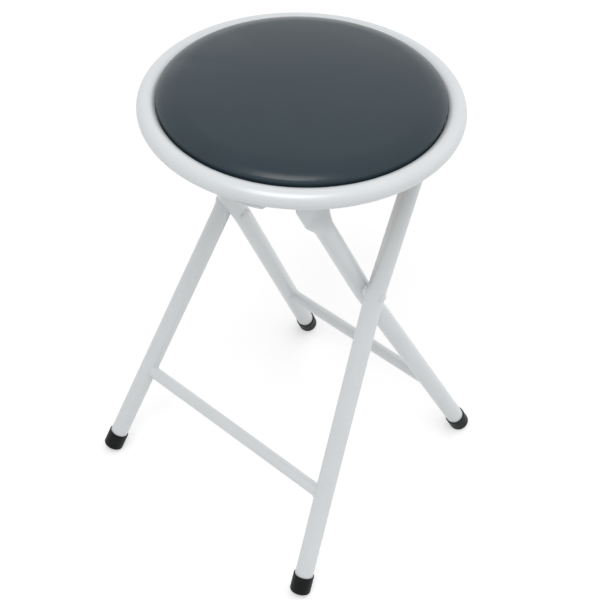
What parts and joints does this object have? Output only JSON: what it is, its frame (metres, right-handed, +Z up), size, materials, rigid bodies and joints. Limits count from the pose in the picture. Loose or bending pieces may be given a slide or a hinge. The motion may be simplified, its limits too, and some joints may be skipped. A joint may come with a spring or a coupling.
{
  "type": "folding stool",
  "caption": "Folding stool with a round padded seat in a steel ring, on crossed tube frames with crossbars and rubber feet.",
  "frame": {"origin": "on the floor, at the centre of the bounding box's bottom face, midway between the two frames' foot lines", "axes": "+Z up; +X towards the feet of the outer frame; +Y to the left, along the pivot line"},
  "size_m": [0.3186, 0.3088, 0.492],
  "materials": {
    "painted_steel": "satin",
    "zinc_steel": "satin",
    "cap_rubber": "matte",
    "black_nylon": "satin",
    "plywood": "matte",
    "foam": "matte",
    "vinyl": "satin"
  },
  "bodies": {
    "inner_frame": {"inner_leg_left": "painted_steel", "inner_leg_right": "painted_steel", "inner_crossbar": "painted_steel", "inner_foot_cap_left": "cap_rubber", "inner_foot_cap_right": "cap_rubber", "hinge_rivets": "zinc_steel", "hinge_washers": "black_nylon"},
    "outer_frame": {"outer_frame_tube": "painted_steel", "outer_crossbar": "painted_steel", "outer_foot_cap_left": "cap_rubber", "outer_foot_cap_right": "cap_rubber", "pivot_rivets": "painted_steel", "pivot_spacers": "black_nylon"},
    "seat": {"seat_ring": "painted_steel", "seat_strap_left": "painted_steel", "seat_strap_right": "painted_steel", "hinge_bracket_left": "painted_steel", "hinge_bracket_right": "painted_steel", "rest_saddle_left": "black_nylon", "rest_saddle_right": "black_nylon", "seat_board": "plywood", "seat_foam": "foam", "seat_cover": "vinyl", "board_screws": "zinc_steel", "cover_staples": "zinc_steel"}
  },
  "joints": [
    {"name": "leg_fold", "type": "hinge", "parent": "inner_frame", "child": "outer_frame", "pos_m": [0.0075, 0, 0.296], "axis": [0, 1, 0], "range_deg": [0, 44.5]},
    {"name": "seat_fold", "type": "hinge", "parent": "inner_frame", "child": "seat", "pos_m": [0.08616, 0, 0.44125], "axis": [0, 1, 0], "range_deg": [0, 118.4]}
  ],
  "couplings": [
    {"joint": "seat_fold", "follows": "leg_fold", "ratio": 2.66}
  ]
}
